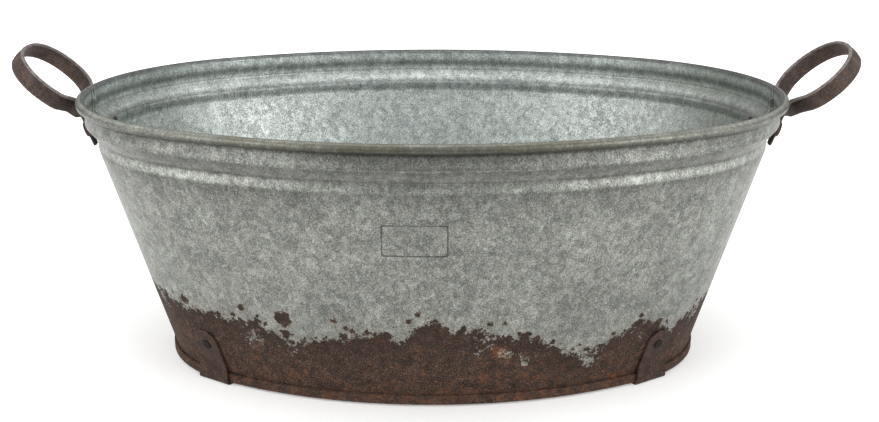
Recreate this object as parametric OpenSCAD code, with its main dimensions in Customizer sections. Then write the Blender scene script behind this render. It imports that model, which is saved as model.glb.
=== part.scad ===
// Oval laundry tub of sheet steel, folded, riveted and then dipped in zinc.
// Two flaring side sheets lock together at the ends, curl over a wire at the rim
// and are knocked up in a double seam with the base plate. Each end carries a
// forged strap handle, and four riveted feet hook under the base seam.
// Length runs along X, width along Y, and the tub stands on z = 0.

/* [Tub] */
// Length over the rolled rim
rim_l = 700; // [620:5:780]
// Width over the rolled rim
rim_w = 500; // [450:5:580]
// Radius of the rim's two end arcs
rim_end_r = 214; // [190:1:220]
// Height from the floor to the top of the rim
tub_h = 268; // [230:1:320]
// Length of the side wall, outside, where it enters the base seam
base_l = 538; // [500:2:580]

/* [Sheet] */
// Thickness of the galvanized sheet
sheet_t = 0.8; // [0.6:0.05:1.1]
// Clearance between folded layers of sheet
fold_gap = 0.1; // [0.05:0.05:0.2]
// Diameter of the rolled rim
roll_d = 9; // [8:0.5:11]
// Clearance between the rim wire and the sheet curled round it
wire_gap = 0.15; // [0.1:0.05:0.3]
// How far round the curl stops short of meeting the wall, in degrees
curl_open = 42; // [36:1:70]

/* [Swaged band under the rim] */
// Drop from the rim's top to the lower edge of the upright band
band_drop = 24; // [22:1:30]
// Drop from the rim's top to the upper end of the neck
neck_top_drop = 37; // [34:1:42]
// Drop from the rim's top to the lower end of the neck
neck_end_drop = 48; // [45:1:58]
// How far the neck's outside lies in from the rim's outside
neck_inset = 18.6; // [16:0.2:21]
// How far the band's lower edge stands proud of the band's top
band_swell = 0.8; // [0.2:0.1:1.6]
// Inside radius of the band's lower bend
band_bend_r = 3; // [2:0.5:4]
// Inside radius of the bend between the band and the neck
neck_bend_r = 4; // [2:0.5:6]
// Inside radius of the soft bend where the neck meets the taper
taper_bend_r = 25; // [15:1:40]

/* [Lock seams at the ends] */
// Width of the folded seam at the rim
lock_w = 7; // [5:0.5:10]
// Drop from the rim's top to the end of the folded layers
lock_drop = 10.5; // [10:0.5:16]

/* [Base] */
// Height of the knocked-up seam round the base
seam_h = 9; // [7:0.5:12]
// Height of the hooked lip inside the seam
seam_lip = 5; // [3:0.5:5.5]
// Inside radius of the tight folds in the seam
seam_fold_r = 0.2; // [0.1:0.1:0.4]
// Radius of the wall's bend above the seam, inside the tub
wall_bend_r = 4; // [2:0.5:8]
// Rise of the stiffening panel in the base
panel_rise = 3; // [1:0.5:6]
// Width of the flat ring between the seam and the panel
panel_ring = 26; // [20:1:40]
// Width of the sloping step round the panel
panel_step = 5; // [4:0.5:10]
// Radius of the two bends in the step, under the tub
panel_bend_r = 4; // [2:0.5:6]

/* [Handles] */
// Width of the handle strap
strap_w = 18; // [14:0.5:22]
// Thickness of the handle strap
strap_t = 2.8; // [2:0.2:3.6]
// How far the loop's outer face bulges between its edges
strap_crown = 1.6; // [0:0.2:2.4]
// How far the beaded upper edge of the loop stands out
strap_bead = 0.8; // [0:0.1:1.2]
// Distance of each tongue of a handle from the tub's centre line
tongue_y = 30; // [24:1:36]
// Drop from the rim's top to the lower end of a handle's tongues
tongue_drop = 51; // [49:1:60]
// Reach of the left grip, measured along the slope of its loop
left_reach = 79.5; // [72:0.5:88]
// Reach of the right grip, measured along the slope of its loop
right_reach = 85.5; // [72:0.5:88]
// Greatest half-width of a loop
handle_half_w = 53.5; // [48:0.5:60]
// Width of a tongue's narrowed lower end
tongue_tip_w = 13; // [10:0.5:16]
// Distance up the loop's slope from the rim to its widest place
loop_mid = 38.5; // [34:0.5:42]
// How much flatter the grip lies than a round loop
grip_flat = 16; // [0:1:20]
// Slope at which the loops rise
handle_rise = 42; // [34:1:48]
// Drop from the rim's top to the loop's plane at the rim's outside
loop_drop = 19; // [16:0.5:22]
// Sideways lean of the left loop, bent by use
left_lean = 9; // [-12:1:12]
// Sideways lean of the right loop, bent by use
right_lean = -2; // [-12:1:12]
// Clearance between a handle's tongue and the swaged band
tongue_gap = 0.3; // [0.2:0.1:0.8]
// How far a tongue's lower end stands off the wall
tongue_stand = 3.5; // [2:0.5:6]

/* [Handle rivets] */
// Diameter of a handle rivet's shank
rivet_d = 6; // [5:0.5:7]
// Diameter of a handle rivet's head
rivet_head_d = 16; // [11:0.5:16.5]
// Height of a handle rivet's head
rivet_head_h = 3.4; // [2:0.2:5]
// Diameter of the tail hammered over inside the tub
rivet_tail_d = 8; // [7.5:0.5:10]
// Height of the tail
rivet_tail_h = 1.6; // [1:0.2:3]
// Drop from the rim's top to a handle rivet's shank
rivet_drop = 39; // [37:0.5:42]
// How far a handle rivet's head was hammered up from its shank
rivet_head_up = 3.5; // [0:0.5:4]
// Clearance of every rivet's shank in its hole
rivet_gap = 0.1; // [0.05:0.05:0.2]

/* [Feet] */
// Thickness of the four feet
foot_t = 2; // [1.5:0.1:3]
// Height of a foot above the floor
foot_h = 57; // [50:1:80]
// Width of a foot at its rounded top
foot_top_w = 28; // [22:1:32]
// Width of a foot at the floor
foot_base_w = 38; // [32:1:44]
// Length of the hook turned in under the seam
foot_hook = 9; // [5:1:14]
// Radius of a foot's bend above the seam, next to the wall
foot_knee_r = 6; // [4:0.5:10]
// Radius of a foot's bend into its hook, next to the seam
foot_heel_r = 1; // [0.5:0.25:2]
// Angle round the end arc, from the length axis, at which a foot stands
foot_turn = 56; // [45:1:58]
// Height of the foot's rivet above the floor
foot_rivet_z = 42; // [30:1:46]
// Diameter of a foot rivet's shank
foot_rivet_d = 5; // [4:0.5:6]
// Diameter of a foot rivet's low head
foot_rivet_head_d = 10; // [8:0.5:12]
// Height of a foot rivet's head
foot_rivet_head_h = 1.4; // [1:0.2:2.4]
// Diameter of the tail hammered over inside the tub
foot_rivet_tail_d = 8; // [6.5:0.5:10]
// Height of a foot rivet's tail
foot_rivet_tail_h = 1.4; // [1:0.2:2.4]
// Clearance between a foot and the sheet that it clasps
clasp_gap = 0.2; // [0.1:0.1:0.4]

/* [Hidden] */
$fn = 144;

// Plan of the rim: two end arcs and two side arcs that meet tangentially.
end_x = rim_l / 2 - rim_end_r;
side_r = (end_x * end_x + pow(rim_w / 2, 2) - rim_end_r * rim_end_r) / (rim_w - 2 * rim_end_r);
meet_a = atan2(side_r - rim_w / 2, end_x);
// From an end arc's centre back to its side arc's centre, kept to a hundredth.
side_back = round(100 * (side_r - rim_end_r)) / 100;

// Heights and depths of the section. A depth of zero is the rim's outside.
roll_r = roll_d / 2;
seam_z = foot_t;
seam_top = seam_z + seam_h;
layer = sheet_t + fold_gap;
wall_d = (base_l - rim_l) / 2;
seam_out_d = wall_d + 3 * layer;
band_d = sheet_t - roll_d;
neck_d = -neck_inset;
band_z = tub_h - band_drop;
neck_top_z = tub_h - neck_top_drop;
neck_end_z = tub_h - neck_end_drop;
taper = (neck_d - wall_d) / (neck_end_z - seam_top);
taper_a = atan(taper);
// A quarter is drawn this far past the tub's middle planes, in mm or degrees.
past_middle = 1;
bend_steps = 3;
// Half the length of a rivet's bore and of the cutters used with it.
bore_reach = 24;
// How far a shank runs on into its head.
shank_in = 0.3;

// Vector helpers for paths in a plane.
function unit(v) = v / norm(v);
function left(v) = [-v[1], v[0]];
function cross2(a, b) = a[0] * b[1] - a[1] * b[0];
function meet(p, u, q, v) = p + u * cross2(q - p, v) / cross2(u, v);

// A path moved sideways by s, to its left where s is above zero.
function moved(path, s) = [for (i = [0:len(path) - 1])
    let (a = i > 0 ? unit(path[i] - path[i - 1]) : unit(path[1] - path[0]),
         b = i < len(path) - 1 ? unit(path[i + 1] - path[i]) : a)
    abs(cross2(a, b)) < 1e-6 ? path[i] + s * left(a)
        : meet(path[i] + s * left(a), a, path[i] + s * left(b), b)];

// One corner rounded to an arc of radius r, drawn in a few steps.
function bend(p, q, t, r) =
    let (a = unit(q - p), b = unit(t - q), turn = atan2(cross2(a, b), a * b),
         side = sign(turn), back = r * tan(abs(turn) / 2),
         centre = q - a * back + side * r * left(a))
    abs(turn) < 1 || r < 0.05 ? [q]
        : [for (k = [0:bend_steps]) let (w = turn * k / bend_steps, s = -side * r)
            centre + s * (left(a) * cos(w) - a * sin(w))];
function rounded(path, radii) = [for (i = [0:len(path) - 1])
    each (i == 0 || i == len(path) - 1 ? [path[i]]
        : bend(path[i - 1], path[i], path[i + 1], radii[i]))];

// Bends keep one centre when a path is moved, so their radii grow or shrink.
function turned(path, radii, s) = [for (i = [0:len(path) - 1])
    i == 0 || i == len(path) - 1 ? 0
        : max(0, radii[i] - s * sign(cross2(path[i] - path[i - 1], path[i + 1] - path[i])))];

// A strip of sheet between the path moved by s1 and the path moved by s2.
function strip(path, radii, s1, s2) =
    let (a = rounded(moved(path, s1), turned(path, radii, s1)),
         b = rounded(moved(path, s2), turned(path, radii, s2)))
    concat(a, [for (i = [len(b) - 1:-1:0]) b[i]]);

// The inside face of a side sheet, from its flange in the base seam to the curl.
flange_d = wall_d + 2 * layer;
wall_path = [[flange_d, seam_top - layer], [flange_d, seam_z + layer],
             [wall_d - sheet_t, seam_z + layer], [wall_d - sheet_t, seam_top],
             [neck_d - sheet_t, neck_end_z], [neck_d - sheet_t, neck_top_z],
             [band_d - sheet_t + band_swell, band_z],
             [band_d - sheet_t, tub_h - roll_d], [band_d - sheet_t, tub_h - roll_r]];
wall_bends = [0, sheet_t, sheet_t, wall_bend_r, taper_bend_r, neck_bend_r, band_bend_r, 0, 0];

// The inside face where the lock seam's layers lie on it.
lock_path = [[wall_d - sheet_t, seam_z + layer], [wall_d - sheet_t, seam_top],
             [neck_d - sheet_t, neck_end_z], [neck_d - sheet_t, neck_top_z],
             [band_d - sheet_t + band_swell, band_z],
             [band_d - sheet_t, tub_h - lock_drop]];
lock_bends = [0, wall_bend_r, taper_bend_r, neck_bend_r, band_bend_r, 0];
lock_a = lock_w / 2 / (rim_end_r - roll_d) * 180 / PI;
fold_a = lock_a * 2 * sheet_t / lock_w;
gap_a = fold_a * fold_gap / sheet_t;

// The right back quarter is drawn about the line on which its two arcs meet: the end
// arc turns from there towards y = 0, and the side arc turns on to the plane x = 0.
module quarter_frame() {
    translate([end_x, 0, 0]) rotate([0, 0, meet_a]) children();
}
module end_arc(from, to) {
    quarter_frame() rotate_extrude(start = from - meet_a, angle = to - from)
        translate([rim_end_r, 0]) children();
}
module side_arc() {
    quarter_frame() translate([-side_back, 0, 0])
        rotate_extrude(start = 0, angle = 90 - meet_a + past_middle)
            translate([side_back + rim_end_r, 0]) children();
}
module right_half() {
    intersection() {
        children();
        translate([0, -rim_w, 0]) cube([rim_l, 2 * rim_w, tub_h]);
    }
}
module both_ends() {
    for (x = [0, 1]) mirror([x, 0, 0]) right_half() children();
}

module wall_section() {
    polygon(strip(wall_path, wall_bends, 0, -sheet_t));
    translate([-roll_r, tub_h - roll_r]) difference() {
        circle(r = roll_r);
        circle(r = roll_r - sheet_t);
        polygon([[0, 0], [-2 * roll_r, 0], [-2 * roll_r, -2 * roll_r * tan(curl_open)]]);
    }
}

// One layer of the lock seam, counted inward from the wall's inside face.
module lock_layer(number) {
    polygon(strip(lock_path, lock_bends, number * layer - sheet_t, number * layer));
}
// A fold that reaches from the face of one layer to the inside of another.
module lock_fold(first, last) {
    polygon(strip(lock_path, lock_bends, first * layer, last * layer));
}

// Two rivet holes at each end of a side sheet.
module sheet_holes(y) {
    for (x = [-1, 1]) {
        handle_rivet_place(x, y) bore(rivet_d);
        foot_rivet_place(x, y) bore(foot_rivet_d);
    }
}

// Front sheet: it runs past each end's centre line and hooks into the back sheet.
module front_side_sheet() {
    color("silver") difference() {
        mirror([0, 1, 0]) both_ends() {
            side_arc() wall_section();
            end_arc(-lock_a, meet_a) wall_section();
            end_arc(-lock_a, fold_a - lock_a) lock_fold(0, 2);
            end_arc(-lock_a, lock_a - gap_a) lock_layer(2);
        }
        sheet_holes(-1);
    }
}

// Back sheet: its edge jogs inward behind the front sheet and hooks over its lip.
module back_side_sheet() {
    color("silver") difference() {
        both_ends() {
            side_arc() wall_section();
            end_arc(lock_a + gap_a, meet_a) wall_section();
            end_arc(lock_a + gap_a, lock_a + gap_a + fold_a) lock_fold(0, 3);
            end_arc(-lock_a - fold_a, lock_a + gap_a + fold_a) lock_layer(3);
            end_arc(-lock_a - fold_a, -lock_a) lock_fold(1, 3);
            end_arc(-lock_a - fold_a, lock_a - fold_a - gap_a) lock_layer(1);
        }
        sheet_holes(1);
    }
}

// Four like quarters, each cut to its own corner so that they meet face to face.
module quarters() {
    for (x = [0, 1], y = [0, 1]) mirror([x, 0, 0]) mirror([0, y, 0]) intersection() {
        children();
        cube([rim_l, rim_w, tub_h]);
    }
}

// Base plate: a raised panel in a flat ring, with its edge folded round the flange.
base_path = [[wall_d - sheet_t - panel_ring - panel_step, seam_z + panel_rise],
             [wall_d - sheet_t - panel_ring, seam_z], [seam_out_d, seam_z],
             [seam_out_d, seam_top], [wall_d + fold_gap, seam_top],
             [wall_d + fold_gap, seam_top - seam_lip]];
fold_out_r = seam_fold_r + sheet_t;
base_bends = [panel_bend_r, panel_bend_r, fold_out_r, fold_out_r, fold_out_r, 0];
module base_section(inner_d) {
    path = concat([[inner_d, seam_z + panel_rise]], base_path);
    polygon(strip(path, concat([0], base_bends), 0, sheet_t));
}
module base_plate() {
    color("silver") quarters() {
        end_arc(-past_middle, meet_a) base_section(-rim_end_r);
        side_arc() base_section(-rim_w / 2 - past_middle);
    }
}

module rim_wire() {
    color("gray") quarters() {
        end_arc(-past_middle, meet_a) wire_section();
        side_arc() wire_section();
    }
}
module wire_section() {
    translate([-roll_r, tub_h - roll_r]) circle(r = roll_r - sheet_t - wire_gap);
}

// A place round the tub, at a turn about an arc's centre. It is worked out for the
// right back quarter and mirrored to the others.
end_centre = [end_x, 0, 0];
module place(x, y, centre, turn) {
    mirror([x < 0 ? 1 : 0, 0, 0]) mirror([0, y < 0 ? 1 : 0, 0])
        translate(centre) rotate([0, 0, turn]) children();
}
module bore(d) {
    translate([0, 0, -bore_reach]) cylinder(d = d + 2 * rivet_gap, h = 2 * bore_reach);
}

// A low rivet head, seated on z = 0: drawn in a little up its side, with a round edge
// and a slightly crowned top. The three shares are of the head's height.
head_draft = 0.15;
head_edge = 0.75;
head_round = 0.5;
module rivet_head(d, h) {
    rotate_extrude() polygon(rounded(
        [[0, 0], [d / 2, 0], [d / 2 - h * head_draft, h * head_edge], [0, h]],
        [0, 0, h * head_round, 0]));
}

// A handle's tongue leans out from the neck to pass over the band.
neck_r = rim_end_r + neck_d;
tongue_top_r = rim_end_r + band_d + band_swell + tongue_gap;
tongue_turn = asin(tongue_y / tongue_top_r);
tongue_end_z = tub_h - tongue_drop;
tongue_end_r = neck_r - (neck_end_z - tongue_end_z) * taper + tongue_stand;
tongue_lean = (tongue_top_r - tongue_end_r) / (band_z - tongue_end_z);
tongue_a = atan(tongue_lean);
tongue_skin = strap_t / cos(tongue_a);
rivet_z = tub_h - rivet_drop;
head_z = rivet_z + rivet_head_up;
function tongue_r(z) = tongue_end_r + tongue_lean * (z - tongue_end_z);

// A point at radius r and angle a about the right end arc's centre.
function about_end(r, a, z) = [end_x + r * cos(a), r * sin(a), z];
function on_tongue(share) =
    let (z = tongue_end_z + share * (band_z - tongue_end_z))
    about_end(tongue_r(z) + tongue_skin / 2, tongue_turn, z);

// A point of the loop's plane, s up the slope from the rim and y to the side.
slope = [cos(handle_rise), 0, sin(handle_rise)];
slope_up = [-sin(handle_rise), 0, cos(handle_rise)];
function on_loop(s, y) = [rim_l / 2, y, tub_h - loop_drop] + s * slope;
// The loop's outline at angle w from its slope, round its widest place.
function loop(reach, w) =
    let (pull = reach - loop_mid - handle_half_w + grip_flat,
         r = handle_half_w - grip_flat * cos(w) * cos(w) + pull * cos(w))
    on_loop(loop_mid + r * cos(w), r * sin(w));

// Between tongue and loop a leg comes out, up and slightly in from the band.
leg_out = 13.7;
leg_up = 11.4;
leg_in = 2.3;
function on_leg(out, up, in) =
    about_end(tongue_top_r + tongue_skin / 2 + out * leg_out, tongue_turn, band_z + up * leg_up)
        - [0, in * leg_in, 0];

// Half of the strap's middle line, from a tongue's lower end towards the grip, with
// how far it has turned on edge and its share of the lean at each point.
loop_turns = [115, 105, 96, 82, 69, 57, 46, 35, 24, 12];
function half_line(reach) = concat([for (share = [0, 0.3, 0.6, 0.85]) on_tongue(share)],
    [on_leg(0.18, 0.22, 0), on_leg(0.52, 0.54, 0.3), on_leg(1, 1, 1)],
    [for (w = loop_turns) loop(reach, w)]);
half_turn = [0, 0, 0, 0, 0.2, 0.55, 0.9, 1, 1, 1, 1, 1, 1, 1, 1, 1, 1];
half_lean = [0, 0, 0, 0, 0.1, 0.3, 0.6, 0.85, 0.95, 1, 1, 1, 1, 1, 1, 1, 1];
half_last = len(half_turn) - 1;
half_width = [for (i = [0:half_last]) i > 0 ? strap_w : tongue_tip_w];
function both(half, middle) = concat(half, [middle], [for (i = [half_last:-1:0]) half[i]]);
function side_line(reach, side, lean) = let (half = half_line(reach)) [for (i = [0:half_last])
    [half[i][0], side * half[i][1] + lean * half_lean[i], half[i][2]]];

// A smooth curve through listed values, at t of the way from one to the next.
function smooth(p, q, r, s, t) = q + (r - p) * t / 2
    + (2 * p - 5 * q + 4 * r - s) * t * t / 2 + (3 * q - p - 3 * r + s) * t * t * t / 2;
function item(list, i) = list[max(0, min(len(list) - 1, i))];
function smoothed(list) = concat(
    [for (i = [0:len(list) - 2], k = [0:strap_steps - 1])
        smooth(item(list, i - 1), list[i], list[i + 1], item(list, i + 2), k / strap_steps)],
    [list[len(list) - 1]]);

// The strap's section, from the upper edge down the inner face and up the outer: shares
// of half its width and thickness, then shares of the crown and of the edge's bead.
strap_steps = 2;
strap_section = [
    [0.82, 1, 0, 1], [0.97, 0.6, 0, 0.9], [0.97, -0.6, 0, 0],
    [0.6, -1, 0.1, 0], [-0.1, -1, 0.6, 0], [-0.7, -1, 0.45, 0],
    [-0.98, -0.4, 0.3, 0], [-0.98, 0.4, 0.4, 0], [-0.75, 1, 0.75, 0],
    [-0.2, 1, 1, 0], [0.3, 1, 0.8, 0], [0.66, 1, 0.1, 0]];
ring_sides = len(strap_section);
function strap_ring(c, across, out, w, formed) = [for (p = strap_section)
    c + across * p[0] * w / 2
        + out * (p[1] * strap_t / 2 + formed * (p[2] * strap_crown + p[3] * strap_bead))];

module strap(reach, lean) {
    line = smoothed(concat(side_line(reach, -1, lean), [loop(reach, 0) + [0, lean, 0]],
        [for (i = [half_last:-1:0]) side_line(reach, 1, lean)[i]]));
    turned_up = smoothed(both(half_turn, 1));
    width = smoothed(both(half_width, strap_w));
    last = len(line) - 1;
    rings = [for (i = [0:last])
        let (ahead = unit(line[min(last, i + 1)] - line[max(0, i - 1)]),
             side = i < last / 2 ? -1 : 1,
             flat = [-sin(tongue_turn), side * cos(tongue_turn), 0],
             t = max(0, min(1, turned_up[i])),
             wish = flat * (1 - t) + slope_up * t,
             across = unit(wish - ahead * (wish * ahead)))
        strap_ring(line[i], across, cross(ahead, across), width[i], t)];
    polyhedron(points = [for (ring = rings) each ring],
        faces = concat([[for (k = [ring_sides - 1:-1:0]) k]],
            [for (i = [0:last - 1], k = [0:ring_sides - 1])
                let (a = i * ring_sides + k, b = i * ring_sides + (k + 1) % ring_sides)
                each [[a, b + ring_sides, a + ring_sides], [a, b, b + ring_sides]]],
            [[for (k = [0:ring_sides - 1]) last * ring_sides + k]]));
}

module handle(x, reach, lean) {
    color("saddlebrown") difference() {
        mirror([x < 0 ? 1 : 0, 0, 0]) strap(reach, lean);
        for (y = [-1, 1]) handle_rivet_place(x, y) bore(rivet_d);
    }
}
module left_handle() { handle(-1, left_reach, left_lean); }
module right_handle() { handle(1, right_reach, right_lean); }

// A handle rivet's shank runs level, with z = 0 at the neck's outside.
module handle_rivet_place(x, y) {
    place(x, y, end_centre, tongue_turn) translate([neck_r, 0, rivet_z]) rotate([0, 90, 0])
        children();
}
// Its head beds on the sloping tongue.
module tongue_seat() {
    translate([tongue_r(head_z) + tongue_skin, 0, head_z]) rotate([0, 90 + tongue_a, 0])
        children();
}
module handle_rivet(x, y) {
    color("sienna") {
        place(x, y, end_centre, tongue_turn) tongue_seat()
            rivet_head(rivet_head_d, rivet_head_h);
        difference() {
            handle_rivet_place(x, y) translate([0, 0, -sheet_t - rivet_gap])
                cylinder(d = rivet_d, h = bore_reach);
            place(x, y, end_centre, tongue_turn) tongue_seat() translate([0, 0, shank_in])
                cylinder(r = bore_reach, h = bore_reach);
        }
        handle_rivet_place(x, y) translate([0, 0, -sheet_t - rivet_gap])
            mirror([0, 0, 1]) rivet_head(rivet_tail_d, rivet_tail_h);
    }
}

// Feet: flat plates on the wall, set out over the base seam and hooked under it. They
// stand square to whichever arc the wall follows at their turn.
foot_on_side = foot_turn > meet_a;
foot_centre = foot_on_side ? [0, rim_w / 2 - side_r, 0] : end_centre;
foot_rim_r = foot_on_side ? side_r : rim_end_r;
function foot_wall_r(z) = foot_rim_r + wall_d + taper * (z - seam_top);
foot_seam_r = foot_rim_r + seam_out_d + clasp_gap;
foot_bend_z = seam_top + (seam_out_d - wall_d) / taper;
foot_path = [[foot_wall_r(foot_h) + clasp_gap, foot_h], [foot_seam_r, foot_bend_z],
             [foot_seam_r, foot_t], [foot_seam_r - foot_hook, foot_t]];
foot_bends = [0, foot_knee_r, foot_heel_r, 0];
module foot_outline() {
    crown_z = foot_h - foot_top_w / 2;
    translate([0, crown_z]) circle(d = foot_top_w);
    polygon([[-foot_base_w / 2, 0], [foot_base_w / 2, 0],
             [foot_top_w / 2, crown_z], [-foot_top_w / 2, crown_z]]);
}
module foot(x, y) {
    color("saddlebrown") difference() {
        place(x, y, foot_centre, foot_turn) intersection() {
            rotate([90, 0, 0]) linear_extrude(2 * foot_base_w, center = true)
                polygon(strip(foot_path, foot_bends, 0, foot_t));
            rotate([90, 0, 90]) linear_extrude(foot_rim_r) foot_outline();
        }
        foot_rivet_place(x, y) bore(foot_rivet_d);
    }
}

// A foot rivet stands square to the wall, with z = 0 at the wall's outside.
module foot_rivet_place(x, y) {
    place(x, y, foot_centre, foot_turn)
        translate([foot_wall_r(foot_rivet_z), 0, foot_rivet_z])
            rotate([0, 90 + taper_a, 0]) children();
}
module foot_rivet(x, y) {
    head_seat = clasp_gap + foot_t;
    tail_seat = -sheet_t - rivet_gap;
    color("sienna") foot_rivet_place(x, y) {
        translate([0, 0, head_seat]) rivet_head(foot_rivet_head_d, foot_rivet_head_h);
        translate([0, 0, tail_seat])
            cylinder(d = foot_rivet_d, h = head_seat - tail_seat + shank_in);
        translate([0, 0, tail_seat]) mirror([0, 0, 1])
            rivet_head(foot_rivet_tail_d, foot_rivet_tail_h);
    }
}

front_side_sheet();
back_side_sheet();
base_plate();
rim_wire();
left_handle();
right_handle();
handle_rivet(-1, -1);  // left_front_handle_rivet
handle_rivet(-1, 1);  // left_back_handle_rivet
handle_rivet(1, -1);  // right_front_handle_rivet
handle_rivet(1, 1);  // right_back_handle_rivet
foot(-1, -1);  // left_front_foot
foot(-1, 1);  // left_back_foot
foot(1, -1);  // right_front_foot
foot(1, 1);  // right_back_foot
foot_rivet(-1, -1);  // left_front_foot_rivet
foot_rivet(-1, 1);  // left_back_foot_rivet
foot_rivet(1, -1);  // right_front_foot_rivet
foot_rivet(1, 1);  // right_back_foot_rivet
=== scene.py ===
"""Finish of an old galvanized laundry tub: weathered zinc, rusted base, straps and feet."""

import bpy
import math
from functools import partial
from types import SimpleNamespace
import numpy as np
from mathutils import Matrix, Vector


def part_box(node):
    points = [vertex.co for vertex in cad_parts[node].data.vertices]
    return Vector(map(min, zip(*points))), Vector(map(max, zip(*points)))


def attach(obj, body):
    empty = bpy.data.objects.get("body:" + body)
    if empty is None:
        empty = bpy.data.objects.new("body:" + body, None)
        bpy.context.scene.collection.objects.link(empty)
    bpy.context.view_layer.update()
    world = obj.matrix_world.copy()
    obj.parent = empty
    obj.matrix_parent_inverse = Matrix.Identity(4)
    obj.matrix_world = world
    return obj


bl_info = {
    "name": "Galvanized Tub Finish",
    "version": (1, 1, 0),
    "blender": (4, 5, 0),
    "location": "3D View > Sidebar > Tub",
    "description": "Gives the packed tub its zinc, rust, stamped frame, floor, light and camera",
    "category": "Object",
}

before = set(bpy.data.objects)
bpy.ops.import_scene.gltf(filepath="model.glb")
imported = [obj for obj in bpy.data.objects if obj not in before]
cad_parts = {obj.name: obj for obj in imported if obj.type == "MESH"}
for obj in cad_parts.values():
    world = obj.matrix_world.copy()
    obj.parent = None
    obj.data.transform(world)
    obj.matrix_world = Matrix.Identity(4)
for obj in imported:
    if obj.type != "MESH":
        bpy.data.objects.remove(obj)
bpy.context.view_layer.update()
FRONT_LOW, FRONT_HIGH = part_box("front_side_sheet")
BASE_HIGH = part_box("base_plate")[1]

# Sizes of the tub, in metres as in the frame. Those without a node's box behind them repeat
# the part's own sizes.
MM = 0.001
RIM_HALF_L = FRONT_HIGH.x
RIM_HALF_W = -FRONT_LOW.y
RIM_TOP = FRONT_HIGH.z
RIM_END_R = 214 * MM
SEAM_TOP = BASE_HIGH.z
NECK_END = RIM_TOP - 48 * MM
NECK_INSET = 18.6 * MM
WALL_INSET = 81 * MM
ROLL_D = 9 * MM
HANDLE_RISE = math.radians(42)
HANDLE_DROP = 19 * MM
LOCK_R = RIM_END_R - ROLL_D

# Plan and slope of the side wall: two end arcs, two side arcs and a straight taper.
END_X = RIM_HALF_L - RIM_END_R
SIDE_R = (END_X ** 2 + RIM_HALF_W ** 2 - RIM_END_R ** 2) / (2 * (RIM_HALF_W - RIM_END_R))
SIDE_Y = SIDE_R - RIM_HALF_W
TAPER = (WALL_INSET - NECK_INSET) / (NECK_END - SEAM_TOP)

# From here on places and sizes are in millimetres, as the materials work in them.
# The lock seam's half width inside, and the line outside where the side sheets meet, both
# measured at the rim. Along the tub their marks begin at LOCK_FROM and are full at LOCK_FULL.
LOCK_HALF_W = 4.2
MEETING_LINE = 3.55
LOCK_FROM = 200.0
LOCK_FULL = 230.0

# Half the length and width of the floor inside, and the drop to the lower band's crest.
FLOOR_HALF_L = 262
FLOOR_HALF_W = 163
LOW_CREST_DROP = 43.0

# Upper edge of the rust on the front: share of the tub's length, and height.
RUST_EDGE = [(0.0, 86), (0.11, 84), (0.16, 78), (0.21, 79), (0.24, 75), (0.27, 78), (0.29, 69),
             (0.313, 59), (0.35, 67), (0.39, 72), (0.435, 79), (0.462, 69), (0.48, 85),
             (0.508, 95), (0.53, 79), (0.56, 83), (0.6, 72), (0.64, 66), (0.66, 58),
             (0.676, 47), (0.71, 47), (0.725, 57), (0.765, 65), (0.777, 75), (0.795, 71),
             (0.828, 52), (0.85, 61), (0.885, 71), (1.0, 76)]

# Single marks on the front, each by its place along the tub, its height and its radius: rust
# above the rust's edge, zinc left below it, and fresh orange rust.
RUST_SPOTS = [(-136, 87, 8), (-135, 70, 4), (-88, 91, 2.9), (-78, 84, 2.5), (-71, 81, 2),
              (-59, 78, 2.5), (-12, 102, 2.4), (-21, 93, 2), (-176, 93, 3.4), (-184, 83, 2.2),
              (-236, 87, 5), (65, 90, 2), (83, 72, 5), (27, 84, 3.3), (22, 82, 2.2),
              (52, 89, 1.8), (130, 54, 2.6), (143, 52, 2.2), (169, 64, 2.2), (196, 80, 2.7)]
ZINC_SPOTS = [(70, 53, 4.5), (79, 51, 3.5), (86, 46, 3.5), (14, 48, 4), (55, 36, 2),
              (-12, 57, 1.8), (-189, 50, 2.2)]
FRESH_SPOTS = [(62, 57, 7), (71, 47, 4), (44, 29, 3), (176, 12, 4)]

# How much lighter or darker the zinc is by the drop from the rim's top, outside and inside:
# painted highlights on the rim roll and the swaged bands' crests, painted shade in the bands'
# hollows, where some dirt darkens them too, and painted shadow under the roll.
BANDS_OUT = [(0, 1.35), (1.2, 1.3), (2, 0.95), (2.9, 1.2), (4.5, 1.08), (5.2, 0.8), (7, 0.54),
             (9, 0.28), (11, 0.36), (13, 0.75), (17, 0.88), (20, 1.08), (23, 0.86),
             (25, 0.6), (31, 0.85), (34, 0.92), (37, 0.58), (40, 1.2), (42, 1.4), (45, 1.3),
             (48, 0.6), (51, 0.68), (60, 0.83), (90, 1.0)]
BANDS_IN = [(0, 0.24), (3, 0.42), (5, 1.5), (8, 1.55), (11, 1.25), (13, 0.85), (15, 0.65),
            (17, 0.85), (21, 1.75), (23, 1.2), (25, 0.74), (29, 0.95), (31, 1.02), (35, 0.43),
            (37, 0.7), (39, 0.98), (43, 0.85), (47, 1.42), (49, 1.1), (51, 1.0), (90, 1.0)]

# Curve nodes hold values from 0 to 1, so heights, drops and gains go into them divided by these.
RUST_RANGE = 100
BANDS_DEEP = 90
GAIN_RANGE = 2


def linear(hex_colour):
    """One sRGB hex colour as linear red, green, blue and alpha."""
    parts = [int(hex_colour[i:i + 2], 16) / 255 for i in (1, 3, 5)]
    return [c / 12.92 if c <= 0.04045 else ((c + 0.055) / 1.055) ** 2.4 for c in parts] + [1.0]


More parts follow.
